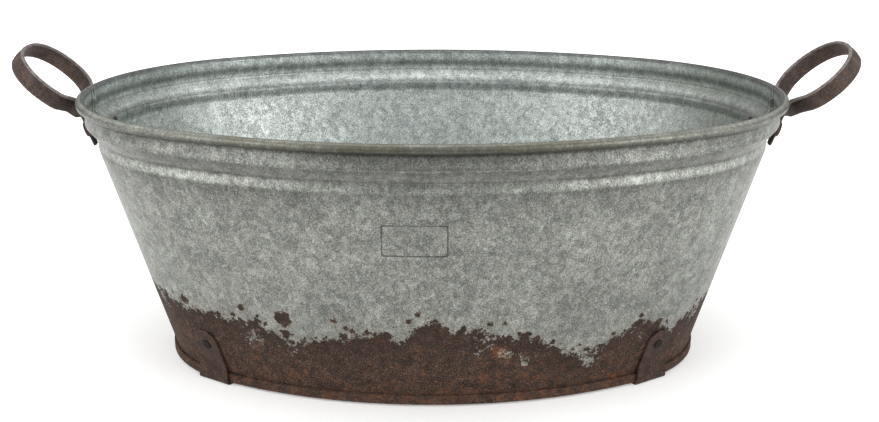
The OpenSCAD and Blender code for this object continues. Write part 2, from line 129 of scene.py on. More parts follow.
def add(tree, kind, inputs=None, output=0, stops=(), points=(), **settings):
    """Add a shader node with its settings, set or link its inputs, and return one output.
    Stops are places and colours of a ramp, and points are places and values of a curve."""
    node = tree.nodes.new("ShaderNode" + kind)
    for key, value in settings.items():
        setattr(node, key, value)
    for key, value in (inputs or {}).items():
        if isinstance(value, bpy.types.NodeSocket):
            tree.links.new(value, node.inputs[key])
        else:
            node.inputs[key].default_value = value
    for spot, (place, colour) in enumerate(stops):
        if spot >= 2:
            node.color_ramp.elements.new(1.0)
        node.color_ramp.elements[spot].position = place
        node.color_ramp.elements[spot].color = linear(colour)
    for spot, (place, value) in enumerate(points):
        if spot >= 2:
            node.mapping.curves[0].points.new(place, value)
        else:
            node.mapping.curves[0].points[spot].location = (place, value)
    if points:
        for point in node.mapping.curves[0].points:
            point.handle_type = "VECTOR"
        node.mapping.update()
    return node.outputs[output] if len(node.outputs) else node


def new_material(name):
    """An empty material, its tree, the function that adds nodes to it, and the place of each
    point in millimetres."""
    material = bpy.data.materials.new(name)
    material.use_nodes = True
    tree = material.node_tree
    tree.nodes.clear()
    node = partial(add, tree)
    own = node("TexCoord", output="Object")
    place = node("VectorMath", {0: own, "Scale": 1 / MM}, operation="SCALE")
    return material, tree, node, place


def finish_material(tree, **inputs):
    """Close a material with its shader and output."""
    shader = add(tree, "BsdfPrincipled", {k.replace("_", " "): v for k, v in inputs.items()})
    add(tree, "OutputMaterial", {"Surface": shader})


def mixed_noise(node, place, parts):
    """Sum of noises about 0.5: each part is a size in mm, a weight, detail and roughness."""
    total = 0.5
    for size, weight, detail, rough in parts:
        cloud = node("TexNoise", {"Vector": place, "Scale": 1 / size, "Detail": detail,
                                  "Roughness": rough})
        centred = node("Math", {0: cloud, 1: 0.5}, operation="SUBTRACT")
        total = node("Math", {0: centred, 1: weight, 2: total}, operation="MULTIPLY_ADD")
    return total


def rust_colour(node, place, fresh_share=0.6):
    """Old rust on steel: dark grainy scale, grey-brown bloom and a few fresh orange flecks, so
    that it reads as dry and crusted. Grains are about a millimetre wide, the flecks three to
    six. Returns its colour, and its tone for the relief."""
    tone = mixed_noise(node, place, [(1.1, 2.0, 2.0, 0.8), (9, 0.6, 5.0, 0.6)])
    scale = node("ValToRGB", {0: tone}, stops=[
        (0.22, "#120e0c"), (0.38, "#251b17"), (0.52, "#392b25"), (0.66, "#523e33"),
        (0.82, "#775b49")])
    patch = node("TexNoise", {"Vector": place, "Scale": 1 / 24, "Detail": 3.0})
    bloom = node("MapRange", {0: patch, 1: 0.46, 2: 0.64, 3: 0.0, 4: 0.25})
    scale = node("Mix", {0: bloom, 6: scale, 7: linear("#3c312d")}, 2, data_type="RGBA")
    fresh = node("TexNoise", {"Vector": place, "Scale": 1 / 5, "Detail": 5.0, "Roughness": 0.62,
                              "Distortion": 0.4})
    fleck = node("MapRange", {0: fresh, 1: 0.6, 2: 0.7, 3: 0.0, 4: fresh_share})
    return node("Mix", {0: fleck, 6: scale, 7: linear("#8a5130")}, 2, data_type="RGBA"), tone


def spots_here(node, stray, spots):
    """Depth in mm inside the nearest of some round marks on the front: radius less distance.
    The place it gets is shifted about by noise, so that no mark is a clean circle."""
    flat = node("VectorMath", {0: stray, 1: [1.0, 0.0, 1.0]}, operation="MULTIPLY")
    inside = -50.0
    for x, z, radius in spots:
        away = node("VectorMath", {0: flat, 1: (x, 0.0, z)}, "Value", operation="DISTANCE")
        depth = node("Math", {0: float(radius), 1: away}, operation="SUBTRACT")
        inside = node("Math", {0: depth, 1: inside}, operation="MAXIMUM")
    return inside


def zinc_tone(node, place, spangle):
    """Light and dark of dipped zinc, about 0.5: crystals that ran down the sheet as it was
    drawn from the bath, cloudy white bloom, and a grain as fine as the render shows."""
    drawn = node("VectorMath", {0: place, 1: [1.0, 1.0, 0.8]}, operation="MULTIPLY")
    wander = node("TexNoise", {"Vector": place, "Scale": 1 / 3, "Detail": 3.0}, "Color")
    bent = node("VectorMath", {0: wander, 1: [5.0] * 3, 2: drawn}, operation="MULTIPLY_ADD")
    tone = mixed_noise(node, drawn, [(1.2, 1.15, 2.0, 0.8), (5, 0.3, 4.0, 0.7),
                                     (50, 0.16, 2.0, 0.5)])
    for width, weight in ((spangle, 0.14), (2.2 * spangle, 0.07)):
        cells = node("TexVoronoi", {"Vector": bent, "Scale": 1 / width}, "Color")
        cell = node("SeparateColor", {0: cells})
        tone = node("Math", {0: cell, 1: weight, 2: tone}, operation="MULTIPLY_ADD")
    streaks = node("VectorMath", {0: place, 1: [1.0, 1.0, 0.3]}, operation="MULTIPLY")
    run = node("TexNoise", {"Vector": streaks, "Scale": 1 / 2.5, "Detail": 4.0})
    tone = node("Math", {0: run, 1: 0.12, 2: tone}, operation="MULTIPLY_ADD")
    # Pale threads: the edges of crystals, where a noise crosses its middle.
    thread = node("TexNoise", {"Vector": bent, "Scale": 1 / 9, "Detail": 2.0})
    thread = node("Math", {0: thread, 1: 0.5}, operation="SUBTRACT")
    thread = node("Math", {0: thread}, operation="ABSOLUTE")
    thread = node("MapRange", {0: thread, 1: 0.0, 2: 0.04, 3: 0.055, 4: 0.0})
    return node("Math", {0: thread, 1: tone}, operation="ADD")


class TubSizes(bpy.types.PropertyGroup):
    """Real sizes of the marks on the tub."""
    spangle: bpy.props.FloatProperty(
        name="Spangle", description="Width of one zinc crystal", default=5 * MM, unit="LENGTH")
    inside_rust: bpy.props.FloatProperty(
        name="Rust Inside", description="Height of the rust on the walls inside",
        default=12 * MM, unit="LENGTH")
    base_rust: bpy.props.FloatProperty(
        name="Rust on the Base", description="Height of the rust on the base inside",
        default=4 * MM, unit="LENGTH")
    frame_l: bpy.props.FloatProperty(
        name="Stamped Frame Length", description="Length of the bare stamped frame",
        default=56.5 * MM, unit="LENGTH")
    frame_h: bpy.props.FloatProperty(
        name="Stamped Frame Height", description="Height of the bare stamped frame",
        default=30 * MM, unit="LENGTH")
    frame_x: bpy.props.FloatProperty(
        name="Stamped Frame Place", description="Middle of the frame along the tub",
        default=-14.3 * MM, unit="LENGTH")
    frame_z: bpy.props.FloatProperty(
        name="Stamped Frame Middle", description="Height of the frame's middle above the floor",
        default=176.7 * MM, unit="LENGTH")
    ridge_w: bpy.props.FloatProperty(
        name="Ridge Width", description="Width of the frame's pressed ridge", default=1.5 * MM,
        unit="LENGTH")
    ridge_h: bpy.props.FloatProperty(
        name="Ridge Height", description="Height of the frame's pressed ridge",
        default=0.35 * MM, unit="LENGTH")


class TubColours(bpy.types.PropertyGroup):
    """Main colours of the finishes."""
    zinc_out_dark: bpy.props.StringProperty(
        name="Outside, Dark", description="Darkest zinc outside", default="#5b5d59")
    zinc_out: bpy.props.StringProperty(
        name="Outside", description="Weathered zinc outside", default="#858781")
    zinc_out_light: bpy.props.StringProperty(
        name="Outside, Light", description="Bloom outside", default="#afb2ab")
    zinc_in_dark: bpy.props.StringProperty(
        name="Inside, Dark", description="Darkest zinc inside", default="#78807d")
    zinc_in: bpy.props.StringProperty(
        name="Inside", description="Scoured zinc inside", default="#aeb5b1")
    zinc_in_light: bpy.props.StringProperty(
        name="Inside, Light", description="Bright zinc inside", default="#dee4e2")
    rim: bpy.props.StringProperty(
        name="Rim", description="Dirty, handled rim", default="#57564b")
    # Colour of the straps' upper edge: partly wear, partly painted highlight.
    strap_edge: bpy.props.StringProperty(
        name="Strap Edge", description="Rubbed upper edge of the straps", default="#8d8583")


def sheet_places(node, place):
    """Where a point lies on the folded sheets, in millimetres, and the noises that their marks
    share. far_out is its distance from the tub's middle along it, drop its depth below the
    rim's top, and lean its distance sideways from the lock seam. outside is 1 on the outer face
    and 0 inside, and behind is 1 past the front, where front_only takes the front's marks away.
    stray is the point's place, shifted about by noise."""
    at = SimpleNamespace(place=place)
    at.along, at.across, at.height = [node("SeparateXYZ", {0: place}, k) for k in range(3)]
    at.far_out = node("Math", {0: at.along}, operation="ABSOLUTE")
    at.drop = node("Math", {0: RIM_TOP / MM, 1: at.height}, operation="SUBTRACT")

    # Outside is where the surface faces away from the tub's middle. The floor inside faces up,
    # and lies within an ellipse.
    normal = node("NewGeometry", output="Normal")
    flat = node("VectorMath", {0: place, 1: [1.0, 1.0, 0.0]}, operation="MULTIPLY")
    at.facing = node("VectorMath", {0: flat, 1: normal}, "Value", operation="DOT_PRODUCT")
    outward = node("MapRange", {0: at.facing, 1: -8.0, 2: 8.0}, interpolation_type="SMOOTHSTEP")
    span = node("VectorMath", {0: flat, 1: [1 / FLOOR_HALF_L, 1 / FLOOR_HALF_W, 0.0]},
                operation="MULTIPLY")
    span = node("VectorMath", {0: span}, "Value", operation="LENGTH")
    off_floor = node("MapRange", {0: span, 1: 0.96, 2: 1.0})
    slope = node("SeparateXYZ", {0: normal}, "Z")
    not_up = node("MapRange", {0: slope, 1: 0.3, 2: 0.7, 3: 1.0, 4: 0.0})
    off_floor = node("Math", {0: off_floor, 1: not_up}, operation="MAXIMUM")
    at.outside = node("Math", {0: outward, 1: off_floor}, operation="MULTIPLY")

    # Sideways from the lock seam's middle. All on the end arcs narrows towards the base, so it
    # is measured as at the rim.
    reach = node("Math", {0: at.far_out, 1: END_X / MM}, operation="SUBTRACT")
    lean = node("Math", {0: at.across, 1: reach}, operation="DIVIDE")
    at.lean = node("Math", {0: lean, 1: LOCK_R / MM}, operation="MULTIPLY")

    at.behind = node("MapRange", {0: at.across, 1: -45.0, 2: 15.0},
                     interpolation_type="SMOOTHSTEP")
    at.front_only = node("MapRange", {0: at.behind, 3: 0.0, 4: -60.0})

    # Edges are ragged to the size of the crystals, and no pit or mark is a clean circle.
    at.wide = mixed_noise(node, place, [(70, 1.0, 2.0, 0.5)])
    at.ragged = mixed_noise(node, place, [(2.2, 22.0, 4.0, 0.8), (6, 24.0, 4.0, 0.65),
                                          (16, 14.0, 2.0, 0.5)])
    stray = node("TexNoise", {"Vector": place, "Scale": 1 / 4, "Detail": 3.0}, "Color")
    stray = node("VectorMath", {0: stray, 1: [0.5] * 3}, operation="SUBTRACT")
    at.stray = node("VectorMath", {0: stray, 1: [7.0] * 3, 2: place}, operation="MULTIPLY_ADD")
    return at


def band_gain(node, at):
    """How much painted highlight and shade lighten or darken the zinc: along the bands, with some
    dirt in their hollows, towards the tub's ends outside, and on the lower band's crest.
    """
    down = node("Math", {0: at.drop, 1: float(BANDS_DEEP)}, operation="DIVIDE", use_clamp=True)
    gain_out, gain_in = [node("FloatCurve", {"Value": down}, points=[
        (drop / BANDS_DEEP, gain / GAIN_RANGE)
        for drop, gain in [bands[0], bands[-1]] + bands[1:-1]]) for bands in (BANDS_OUT, BANDS_IN)]
    # Painted reflection: the outside is lightened towards the tub's ends, where the wall turns
    # away and mirrors the white room.
    at_end = node("MapRange", {0: at.far_out, 1: 220.0, 2: 310.0, 3: 1.0, 4: 1.12})
    gain_out = node("Math", {0: gain_out, 1: at_end}, operation="MULTIPLY")
    # Painted highlight: the lower swaged band's crest is lightened most between the tub's middle
    # and its ends, where the side lamps are mirrored, and less at the middle and the very ends.
    crest_highlight = node("MapRange", {0: at.far_out, 1: 90.0, 2: 160.0, 3: 0.88, 4: 1.17})
    crest_highlight_ends = node("MapRange", {0: at.far_out, 1: 240.0, 2: 320.0, 3: 1.0, 4: 0.72})
    crest_highlight = node("Math", {0: crest_highlight, 1: crest_highlight_ends}, operation="MULTIPLY")
    from_crest = node("Math", {0: at.drop, 1: LOW_CREST_DROP}, operation="SUBTRACT")
    from_crest = node("Math", {0: from_crest}, operation="ABSOLUTE")
    on_crest = node("MapRange", {0: from_crest, 1: 3.0, 2: 6.0, 3: 1.0, 4: 0.0})
    crest_highlight = node("Mix", {0: on_crest, 2: 1.0, 3: crest_highlight})
    gain_out = node("Math", {0: gain_out, 1: crest_highlight}, operation="MULTIPLY")
    gain = node("Mix", {0: at.outside, 2: gain_in, 3: gain_out})
    return node("Math", {0: gain, 1: float(GAIN_RANGE)}, operation="MULTIPLY")


def zinc_colour(node, at, tone, colours):
    """Zinc, dull and darker outside and lighter inside, with brown dirt on the rolled rim, painted
    shadow along the roll's lower edge, and greyer towards the ends inside, more at the right.
    Last the band gains lighten and darken it with painted highlight and shade."""
    outer = node("ValToRGB", {0: tone}, stops=[
        (0.5, colours.zinc_out_dark), (0.72, colours.zinc_out), (0.94, colours.zinc_out_light)])
    inner = node("ValToRGB", {0: tone}, stops=[
        (0.5, colours.zinc_in_dark), (0.72, colours.zinc_in), (0.94, colours.zinc_in_light)])
    zinc = node("Mix", {0: at.outside, 6: inner, 7: outer}, 2, data_type="RGBA")

    roll_foot = (RIM_TOP - ROLL_D) / MM
    on_roll = node("MapRange", {0: at.height, 1: roll_foot - 1.2, 2: roll_foot + 0.3})
    dirt = mixed_noise(node, at.place, [(2.0, 0.8, 2.0, 0.6), (18, 0.9, 4.0, 0.6)])
    dirt = node("MapRange", {0: dirt, 1: 0.3, 2: 0.65, 3: 0.55, 4: 1.0})
    handled = node("MapRange", {0: at.far_out, 1: 120.0, 2: 270.0, 3: 1.0, 4: 0.4})
    not_inner = node("MapRange", {0: at.facing, 1: -170.0, 2: -60.0})
    for limit in (dirt, handled, not_inner):
        on_roll = node("Math", {0: on_roll, 1: limit}, operation="MULTIPLY")
    # Painted shadow: the roll's lower edge and the crease beneath it are darkened almost to black,
    # where the curl shades them.
    under = node("MapRange", {0: at.height, 1: roll_foot, 2: roll_foot + 3.5, 3: 0.75, 4: 0.0})
    rim = node("Mix", {0: under, 6: linear(colours.rim), 7: linear("#2b2923")}, 2,
               data_type="RGBA")
    zinc = node("Mix", {0: on_roll, 6: zinc, 7: rim}, 2, data_type="RGBA")

    # Greyer towards the ends inside, more at the right.
    end_grey = node("MapRange", {0: at.along, 1: 150.0, 2: 300.0, 3: 0.0, 4: 0.45})
    end_grey_left = node("MapRange", {0: at.along, 1: -150.0, 2: -320.0, 3: 0.0, 4: 0.12})
    end_grey = node("Math", {0: end_grey, 1: end_grey_left}, operation="ADD")
    inside = node("Math", {0: 1.0, 1: at.outside}, operation="SUBTRACT")
    end_grey = node("Math", {0: end_grey, 1: inside}, operation="MULTIPLY")
    zinc = node("Mix", {0: end_grey, 6: zinc, 7: linear("#6f6e66")}, 2, data_type="RGBA")
    return node("HueSaturation", {"Color": zinc, "Value": band_gain(node, at)})


def below_rust_edge(node, at, inside_rust):
    """Depth in mm below the rust's upper edge. Outside, the edge follows a curve in front and
    wanders freely behind. Inside, it wanders about its own height."""
    share = node("Math", {0: at.along, 1: 0.5 * MM / RIM_HALF_L, 2: 0.5},
                 operation="MULTIPLY_ADD")
    ends_first = [RUST_EDGE[0], RUST_EDGE[-1]] + RUST_EDGE[1:-1]
    curve = node("FloatCurve", {"Value": share},
                 points=[(spot, height / RUST_RANGE) for spot, height in ends_first])
    front_edge = node("Math", {0: curve, 1: float(RUST_RANGE)}, operation="MULTIPLY")
    back_edge = node("MapRange", {0: at.wide, 1: 0.2, 2: 0.8, 3: 25.0, 4: 115.0})
    outer_edge = node("Mix", {0: at.behind, 2: front_edge, 3: back_edge})
    inner_edge = node("MapRange", {0: at.wide, 1: 0.3, 2: 0.7, 3: inside_rust / MM - 22,
                                   4: inside_rust / MM + 12})
    edge = node("Mix", {0: at.outside, 2: inner_edge, 3: outer_edge})
    return node("Math", {0: edge, 1: at.height}, operation="SUBTRACT")


def rust_depth(node, at, below):
    """Depth in mm inside the rust: ragged along its edge, with round pits above it, zinc left
    in it, the front's single marks, and thin rust along both edges of the lock seam inside."""
    solid = node("Math", {0: below, 1: at.ragged}, operation="ADD")
    # Each size of pit: its cell's width, how far above the edge it goes, and how common it is.
    for width, reach, common in ((8, -24.0, -0.25), (3.4, -13.0, -0.19)):
        pits = node("TexVoronoi", {"Vector": at.stray, "Scale": 1 / width}, "Distance")
        chance = node("TexVoronoi", {"Vector": at.stray, "Scale": 1 / width}, "Color")
        chance = node("SeparateColor", {0: chance})
        near = node("MapRange", {0: below, 1: reach, 2: 0.0, 3: -1.05, 4: common})
        size = node("Math", {0: chance, 1: near}, operation="ADD")
        pit = node("Math", {0: size, 1: pits}, operation="SUBTRACT")
        pit = node("Math", {0: pit, 1: 2.0 * width}, operation="MULTIPLY")
        solid = node("Math", {0: solid, 1: pit}, operation="MAXIMUM")

    left_zinc = mixed_noise(node, at.place, [(4, 1.1, 6.0, 0.75), (34, 1.0, 2.0, 0.5)])
    kept = node("Math", {0: spots_here(node, at.stray, ZINC_SPOTS), 1: at.front_only},
                operation="ADD")
    kept = node("MapRange", {0: kept, 1: -7.0, 2: 2.0, 3: 0.0, 4: 0.2})
    left_zinc = node("Math", {0: left_zinc, 1: kept}, operation="ADD")
    left_zinc = node("MapRange", {0: left_zinc, 1: 0.7, 2: 0.78, 3: 0.0, 4: -30.0})
    solid = node("Math", {0: solid, 1: left_zinc}, operation="ADD")
    mark = node("Math", {0: spots_here(node, at.stray, RUST_SPOTS), 1: at.front_only},
                operation="ADD")
    mark = node("Math", {0: at.ragged, 1: 0.4, 2: mark}, operation="MULTIPLY_ADD")
    solid = node("Math", {0: solid, 1: mark}, operation="MAXIMUM")

    # The way to the nearer edge of the lock seam.
    side = node("Math", {0: at.lean}, operation="ABSOLUTE")
    side = node("Math", {0: side, 1: LOCK_HALF_W}, operation="SUBTRACT")
    side = node("Math", {0: side}, operation="ABSOLUTE")
    seam = node("MapRange", {0: side, 1: 0.8, 2: 4.5, 3: 0.8, 4: -24.0})
    broken = node("Math", {0: at.ragged, 1: 0.6}, operation="MULTIPLY")
    only_inside = node("MapRange", {0: at.outside, 1: 0.0, 2: 0.2, 3: 0.0, 4: -20.0})
    only_at_end = node("MapRange", {0: at.far_out, 1: LOCK_FROM, 2: LOCK_FULL, 3: -20.0,
                                    4: 0.0})
    for part in (broken, only_inside, only_at_end):
        seam = node("Math", {0: seam, 1: part}, operation="ADD")
    return node("Math", {0: solid, 1: seam}, operation="MAXIMUM")


def stained(node, at, zinc, solid, below):
    """Zinc beside rust: a brown stain round each spot, and pale bloom along the rust's edge."""
    stain = node("MapRange", {0: solid, 1: -5.0, 2: 0.0, 3: 0.0, 4: 0.35})
    zinc = node("Mix", {0: stain, 6: zinc, 7: linear("#8a8272")}, 2, data_type="RGBA")
    bloom = node("MapRange", {0: below, 1: -12.0, 2: 6.0, 3: -0.6, 4: 0.0})
    bloom = node("Math", {0: bloom, 1: at.wide}, operation="ADD")
    bloom = node("MapRange", {0: bloom, 1: 0.48, 2: 0.62, 3: 0.0, 4: 0.3})
    return node("Mix", {0: bloom, 6: zinc, 7: linear("#a09b89")}, 2, data_type="RGBA")


def sheet_rust(node, at, below):
    """Rust on the sheets: nearly black just under the zinc, warmer and redder low down, and
    orange where it is fresh. Returns its colour, and its tone for the relief."""
    rust, grain = rust_colour(node, at.place)
    warm = mixed_noise(node, at.place, [(10, 1.2, 4.0, 0.65)])
    low = node("MapRange", {0: at.height, 1: 12.0, 2: 50.0, 3: 0.06, 4: -0.12})
    warm = node("Math", {0: warm, 1: low}, operation="ADD")
    warm = node("MapRange", {0: warm, 1: 0.5, 2: 0.74, 3: 0.0, 4: 0.5})
    rust = node("Mix", {0: warm, 6: rust, 7: linear("#65402a")}, 2, data_type="RGBA")
    young = node("MapRange", {0: below, 1: 3.0, 2: 30.0, 3: 0.45, 4: 0.0})
    rust = node("Mix", {0: young, 6: rust, 7: linear("#1f1612")}, 2, data_type="RGBA")
    fresh = node("Math", {0: spots_here(node, at.stray, FRESH_SPOTS), 1: at.front_only},
                 operation="ADD")
    fresh = node("Math", {0: at.ragged, 1: 1.5, 2: fresh}, operation="MULTIPLY_ADD")
    fresh = node("MapRange", {0: fresh, 1: 0.0, 2: 8.0, 3: 0.0, 4: 0.6})
    return node("Mix", {0: fresh, 6: rust, 7: linear("#80492a")}, 2, data_type="RGBA"), grain


def meeting_line(node, at):
    """Share of dirt in the line outside each end, where the two side sheets' edges meet."""
    line = node("Math", {0: at.lean, 1: MEETING_LINE}, operation="SUBTRACT")
    line = node("Math", {0: line}, operation="ABSOLUTE")
    line = node("MapRange", {0: line, 1: 0.3, 2: 1.2, 3: 0.8, 4: 0.0})
    at_end = node("MapRange", {0: at.far_out, 1: LOCK_FROM, 2: LOCK_FULL})
    above_base = node("MapRange", {0: at.height, 1: SEAM_TOP / MM, 2: SEAM_TOP / MM + 1})
    for limit in (at.outside, at_end, above_base):
        line = node("Math", {0: line, 1: limit}, operation="MULTIPLY")
    return line


def galvanized(name, sizes, colours, inside_rust):
    """Steel sheet, hot-dip galvanized and weathered: a half-dull metal whose crystals still show,
    dirty on the rolled rim, with painted highlight and shade along the rim and the swaged bands,
    and rusted through to the steel low on the outside."""
    material, tree, node, place = new_material(name)
    at = sheet_places(node, place)
    tone = zinc_tone(node, place, sizes.spangle / MM)
    below = below_rust_edge(node, at, inside_rust)
    solid = rust_depth(node, at, below)
    zinc = stained(node, at, zinc_colour(node, at, tone, colours), solid, below)
    rust, grain = sheet_rust(node, at, below)

    rusted = node("MapRange", {0: solid, 1: -0.4, 2: 0.7}, interpolation_type="SMOOTHSTEP")
    colour = node("Mix", {0: rusted, 6: zinc, 7: rust}, 2, data_type="RGBA")
    colour = node("Mix", {0: meeting_line(node, at), 6: colour, 7: linear("#26241f")}, 2,
                  data_type="RGBA")
    metallic = node("MapRange", {0: rusted, 3: 0.72, 4: 0.0})
    shine = node("MapRange", {0: tone, 1: 0.5, 2: 0.9, 3: 0.43, 4: 0.32})
    rough = node("Mix", {0: rusted, 2: shine, 3: 0.8})
    relief = node("Mix", {0: rusted, 2: tone, 3: grain})
    bump = node("Bump", {"Strength": 0.38, "Distance": 0.5 * MM, "Height": relief})
    gloss = node("MapRange", {0: rusted, 3: 0.5, 4: 0.26})
    finish_material(tree, Base_Color=colour, Metallic=metallic, Roughness=rough, Normal=bump,
                    Specular_IOR_Level=gloss)
    return material


def rusted_iron(name, edge_colour=None, painted_hole_shade=0.0, gloss=0.5):
    """Wrought strap and plate, hot forged and long rusted: matt brown scale, so that it reads
    heavier than the sheet. The handle straps have patches with a faint purple cast, painted shade
    at their roots, and a beaded upper edge lightened partly by wear from hands and partly as
    painted highlight. Painted shade can darken a piece nearly to black, as on the foot rivets."""
    material, tree, node, place = new_material(name)
    colour, grain = rust_colour(node, place, 0.35)
    # Painted shade: a share of near-black, which the foot rivets take for the shade of the holes
    # they sit in.
    colour = node("Mix", {0: painted_hole_shade, 6: colour, 7: linear("#17120f")}, 2, data_type="RGBA")
    rough = node("MapRange", {0: grain, 1: 0.2, 2: 0.8, 3: 0.5, 4: 0.78})
    if edge_colour:
        # How far a point lies above the middle of the loop's sloping plane, in mm.
        along, _, height = [node("SeparateXYZ", {0: place}, k) for k in range(3)]
        out = node("Math", {0: along}, operation="ABSOLUTE")
        out = node("Math", {0: out, 1: RIM_HALF_L / MM}, operation="SUBTRACT")
        level = node("Math", {0: height, 1: (RIM_TOP - HANDLE_DROP) / MM}, operation="SUBTRACT")
        level = node("Math", {0: level, 1: math.cos(HANDLE_RISE)}, operation="MULTIPLY")
        above = node("Math", {0: out, 1: -math.sin(HANDLE_RISE), 2: level},
                     operation="MULTIPLY_ADD")
        wear = mixed_noise(node, place, [(5, 1.4, 4.0, 0.7)])
        wear = node("MapRange", {0: wear, 1: 0.3, 2: 0.62, 3: 0.25, 4: 0.85})
        # Painted highlight, partly wear: the beaded upper edge is lightened, broken up by the wear
        # noise.
        edge = node("MapRange", {0: above, 1: 6.0, 2: 7.6}, interpolation_type="SMOOTHSTEP")
        edge_wear_and_highlight = node("Math", {0: edge, 1: wear}, operation="MULTIPLY")
        patch = mixed_noise(node, place, [(17, 1.0, 4.0, 0.6)])
        patch = node("MapRange", {0: patch, 1: 0.5, 2: 0.68, 3: 0.0, 4: 0.45})
        colour = node("Mix", {0: patch, 6: colour, 7: linear("#685853")}, 2, data_type="RGBA")
        # Painted shade: the straps darken near their roots, where they face the tub under the rim.
        root = node("MapRange", {0: out, 1: 4.0, 2: 24.0, 3: 0.6, 4: 0.0})
        colour = node("Mix", {0: root, 6: colour, 7: linear("#221a16")}, 2, data_type="RGBA")
        colour = node("Mix", {0: edge_wear_and_highlight, 6: colour, 7: linear(edge_colour)}, 2,
                      data_type="RGBA")
    bump = node("Bump", {"Strength": 0.7, "Distance": 0.6 * MM, "Height": grain})
    finish_material(tree, Base_Color=colour, Metallic=0.15, Roughness=rough, Normal=bump,
                    Specular_IOR_Level=gloss)
    return material


def finish_nodes(material, names):
    """Give carried-over CAD nodes one material."""
    for name in names:
        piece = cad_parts[name]
        piece.data.materials.clear()
        piece.data.materials.append(material)


def grid_object(name, points, material):
    """A mesh from a grid of points: rows run round and close, columns run across."""
    rows, columns = points.shape[:2]
    u, v = np.arange(rows), np.arange(columns - 1)
    a = u[:, None] * columns + v[None, :]
    b = ((u[:, None] + 1) % rows) * columns + v[None, :]
    quads = np.stack([a, a + 1, b + 1, b], -1).reshape(-1, 4)
    mesh = bpy.data.meshes.new(name)
    mesh.from_pydata(points.reshape(-1, 3).tolist(), [], quads.tolist())
    mesh.shade_smooth()
    mesh.materials.append(material)
    piece = bpy.data.objects.new(name, mesh)
    bpy.context.scene.collection.objects.link(piece)
    return piece


def wall_point(x, z, proud):
    """A point of the front wall's outside at length x and height z, moved out by proud.
    There the plan is a circle of radius SIDE_R less the wall's inset at that height."""
    radius = SIDE_R - WALL_INSET + TAPER * (z - SEAM_TOP) + proud
    return np.stack([x, SIDE_Y - np.sqrt(radius ** 2 - x ** 2), z], -1)


class TUB_OT_sheets(bpy.types.Operator):
    """Give the side sheets, base and rim wire their weathered zinc"""
    bl_idname = "tub.sheets"
    bl_label = "Finish Sheets"

    def execute(self, context):
        sizes, colours = context.scene.tub_sizes, context.scene.tub_colours
        wall = galvanized("galvanized_sheet_weathered", sizes, colours, sizes.inside_rust)
        finish_nodes(wall, ["front_side_sheet", "back_side_sheet", "rim_wire"])
        base = galvanized("galvanized_base_rusted", sizes, colours, sizes.base_rust)
        finish_nodes(base, ["base_plate"])
        return {"FINISHED"}


class TUB_OT_handles(bpy.types.Operator):
    """Give both strap handles their rust"""
    bl_idname = "tub.handles"
    bl_label = "Finish Handles"

    def execute(self, context):
        strap = rusted_iron("strap_iron_rusted", context.scene.tub_colours.strap_edge)
        finish_nodes(strap, ["left_handle", "right_handle"])
        return {"FINISHED"}


class TUB_OT_fastenings(bpy.types.Operator):
    """Give the feet and all rivets their rust"""
    bl_idname = "tub.fastenings"
    bl_label = "Finish Feet and Rivets"

    def execute(self, context):
        corners = [f"{x}_{y}" for x in ("left", "right") for y in ("front", "back")]
        foot = rusted_iron("foot_plate_rusted", gloss=0.25)
        finish_nodes(foot, [c + "_foot" for c in corners])
        finish_nodes(rusted_iron("rivet_rusted"), [c + "_handle_rivet" for c in corners])
        # Foot rivets: painted near black for the shade of their holes.
        low = rusted_iron("rivet_rusted_black", painted_hole_shade=0.9, gloss=0.2)
        finish_nodes(low, [c + "_foot_rivet" for c in corners])
        return {"FINISHED"}


class TUB_OT_stamp(bpy.types.Operator):
    """Press the bare frame into the front sheet"""
    bl_idname = "tub.stamp"
    bl_label = "Press Frame"

    def execute(self, context):
        """The ridge runs round a rectangle with rounded corners: the outline is a
        superellipse of power square at angle a, and the height across it, with t from -1 to 1,
        is one wave of a cosine. Its feet are sunk into the sheet."""
        sizes = context.scene.tub_sizes
        sunk = 0.06 * MM
        steps_round, steps_across = 240, 9
        square = 24
        a = np.linspace(0, 2 * np.pi, steps_round, endpoint=False)[:, None]
        t = np.linspace(-1, 1, steps_across)[None, :]
        size = (np.abs(np.cos(a)) ** square + np.abs(np.sin(a)) ** square) ** (-1 / square)
        half_l = sizes.frame_l / 2 + t * sizes.ridge_w / 2
        half_h = sizes.frame_h / 2 + t * sizes.ridge_w / 2
        x = sizes.frame_x + half_l * size * np.cos(a)
        z = sizes.frame_z + half_h * size * np.sin(a)
        proud = sizes.ridge_h * (0.5 + 0.5 * np.cos(np.pi * t)) - sunk + 0 * a
        piece = grid_object("stamped_frame", wall_point(x, z, proud), dirty_ridge())
        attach(piece, "root")
        return {"FINISHED"}


def dirty_ridge():
    """Pressed ridge in galvanized sheet with old dirt along it: dull, uneven dark grey."""
    material, tree, node, place = new_material("galvanized_ridge_dirty")
    dirt = mixed_noise(node, place, [(1.5, 0.8, 2.0, 0.6), (12, 1.2, 3.0, 0.6)])
    colour = node("ValToRGB", {0: dirt}, stops=[(0.35, "#3f403b"), (0.7, "#72756e")])
    bump = node("Bump", {"Strength": 0.4, "Distance": 0.3 * MM, "Height": dirt})
    finish_material(tree, Base_Color=colour, Metallic=0.4, Roughness=0.6, Normal=bump)
    return material


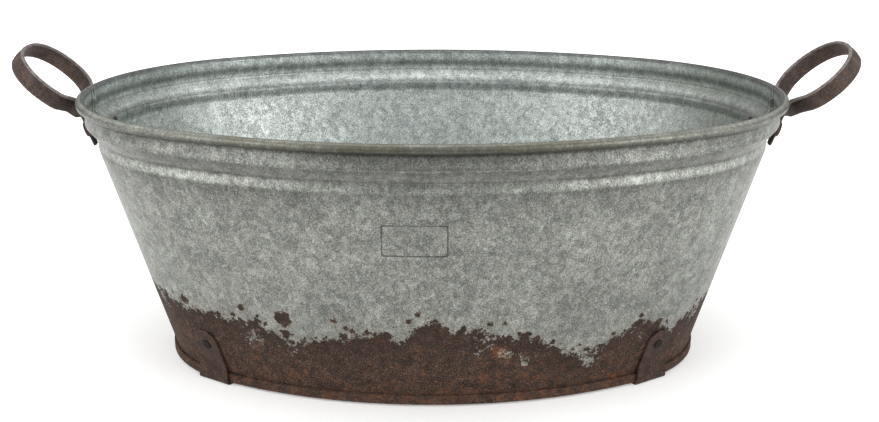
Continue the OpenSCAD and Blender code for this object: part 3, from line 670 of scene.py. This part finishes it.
def pale_floor():
    """Matt white studio paper: even and soft, so the tub's shadow fades out on it."""
    material, tree, node, place = new_material("matt_paper_floor")
    # The paper is lit over its white in the photo, so it shines a little of itself, less in
    # mirrors. Far from the tub it fades to full white, so that its edge doesn't show.
    seen = node("LightPath", output="Is Camera Ray")
    mirrored = node("LightPath", output="Is Glossy Ray")
    lift = node("Math", {0: mirrored, 1: 0.22}, operation="MULTIPLY")
    away = node("VectorMath", {0: place}, "Value", operation="LENGTH")
    white = node("MapRange", {0: away, 1: 900.0, 2: 2500.0, 3: 0.24, 4: 1.0})
    lift = node("Math", {0: seen, 1: white, 2: lift}, operation="MULTIPLY_ADD")
    fibre = mixed_noise(node, place, [(0.8, 1.0, 2.0, 0.5)])
    bump = node("Bump", {"Strength": 0.05, "Distance": 0.1 * MM, "Height": fibre})
    finish_material(tree, Base_Color=linear("#f2f2f1"), Roughness=0.9, Normal=bump,
                    Emission_Color=(1.0, 1.0, 1.0, 1.0), Emission_Strength=lift)
    return material


class TUB_OT_stage(bpy.types.Operator):
    """Add the pale floor, soft light and camera"""
    bl_idname = "tub.stage"
    bl_label = "Set Stage"

    def execute(self, context):
        # White paper that starts just in front of the tub, so that the upright bands in
        # front mirror the darker room below the camera, and the flaring wall the paper.
        half_w, front, back = 6.0, -0.74, 8.0
        corners = [(-half_w, front, 0.0), (half_w, front, 0.0), (half_w, back, 0.0),
                   (-half_w, back, 0.0)]
        mesh = bpy.data.meshes.new("floor")
        mesh.from_pydata(corners, [], [(0, 1, 2, 3)])
        mesh.materials.append(pale_floor())
        floor = bpy.data.objects.new("floor", mesh)
        context.scene.collection.objects.link(floor)

        world = bpy.data.worlds.new("studio")
        context.scene.world = world
        world.use_nodes = True
        world.node_tree.nodes.clear()
        node = partial(add, world.node_tree)
        seen = node("LightPath", output="Is Camera Ray")
        way = node("TexCoord", output="Generated")
        # The room is dark low down, and its white walls and ceiling give a soft light.
        high = node("SeparateXYZ", {0: way}, "Z")
        room = node("MapRange", {0: high, 1: -0.2, 2: 0.4, 3: 0.12, 4: 0.76},
                    interpolation_type="SMOOTHSTEP")
        strength = node("Mix", {0: seen, 2: room, 3: 1.0})
        light = node("Background", {0: (1.0, 1.0, 1.0, 1.0), 1: strength})
        node("OutputWorld", {0: light})

        for name, place, turn, size, power in (
                ("top_light", (0, 0.1, 2.4), (0, 0, 0), (2.4, 2.4), 23),
                ("left_light", (-2.0, 0.2, 1.9), (0, -50, 0), (1.4, 1.4), 9),
                ("right_light", (2.0, 0.2, 1.9), (0, 50, 0), (1.4, 1.4), 7),
                ("front_left_card", (-1.04, -0.96, 0.62), (90, 0, -58), (1.2, 1.2), 5.2),
                ("front_left_glow", (-1.0, -0.94, 0.62), (90, 0, -58), (0.55, 0.9), 3.2),
                ("front_right_card", (1.04, -0.98, 0.62), (90, 0, 57), (1.2, 1.2), 5.8),
                ("front_right_glow", (1.0, -0.96, 0.62), (90, 0, 57), (0.55, 0.9), 3.4)):
            lamp = bpy.data.lights.new(name, "AREA")
            lamp.shape = "RECTANGLE"
            lamp.size, lamp.size_y = size
            lamp.energy = power
            holder = bpy.data.objects.new(name, lamp)
            holder.location = place
            holder.rotation_euler = [math.radians(angle) for angle in turn]
            context.scene.collection.objects.link(holder)

        view = bpy.data.cameras.new("photo_view")
        view.sensor_width = 36
        image_w, focal_px = 879, 1200
        pitch_down = 16.56
        view.lens = view.sensor_width * focal_px / image_w
        camera = bpy.data.objects.new("photo_view", view)
        camera.location = (0.0069, -1.1878, 0.4922)
        camera.rotation_euler = (math.radians(90 - pitch_down), 0, 0)
        context.scene.collection.objects.link(camera)
        context.scene.camera = camera
        context.scene.view_settings.view_transform = "Standard"
        return {"FINISHED"}


OPERATORS = (TUB_OT_sheets, TUB_OT_handles, TUB_OT_fastenings, TUB_OT_stamp, TUB_OT_stage)


class TUB_PT_panel(bpy.types.Panel):
    """Lists the tub's finishing steps"""
    bl_idname = "TUB_PT_panel"
    bl_label = "Galvanized Tub"
    bl_space_type = "VIEW_3D"
    bl_region_type = "UI"
    bl_category = "Tub"

    def draw(self, context):
        for operator in OPERATORS:
            self.layout.operator(operator.bl_idname)


CLASSES = (TubSizes, TubColours) + OPERATORS + (TUB_PT_panel,)


def register():
    for each in CLASSES:
        bpy.utils.register_class(each)
    bpy.types.Scene.tub_sizes = bpy.props.PointerProperty(type=TubSizes)
    bpy.types.Scene.tub_colours = bpy.props.PointerProperty(type=TubColours)


def unregister():
    del bpy.types.Scene.tub_colours
    del bpy.types.Scene.tub_sizes
    for each in reversed(CLASSES):
        bpy.utils.unregister_class(each)


def main():
    register()
    bpy.ops.tub.sheets()
    bpy.ops.tub.handles()
    bpy.ops.tub.fastenings()
    bpy.ops.tub.stamp()
    bpy.ops.tub.stage()


if __name__ == "__main__":
    main()
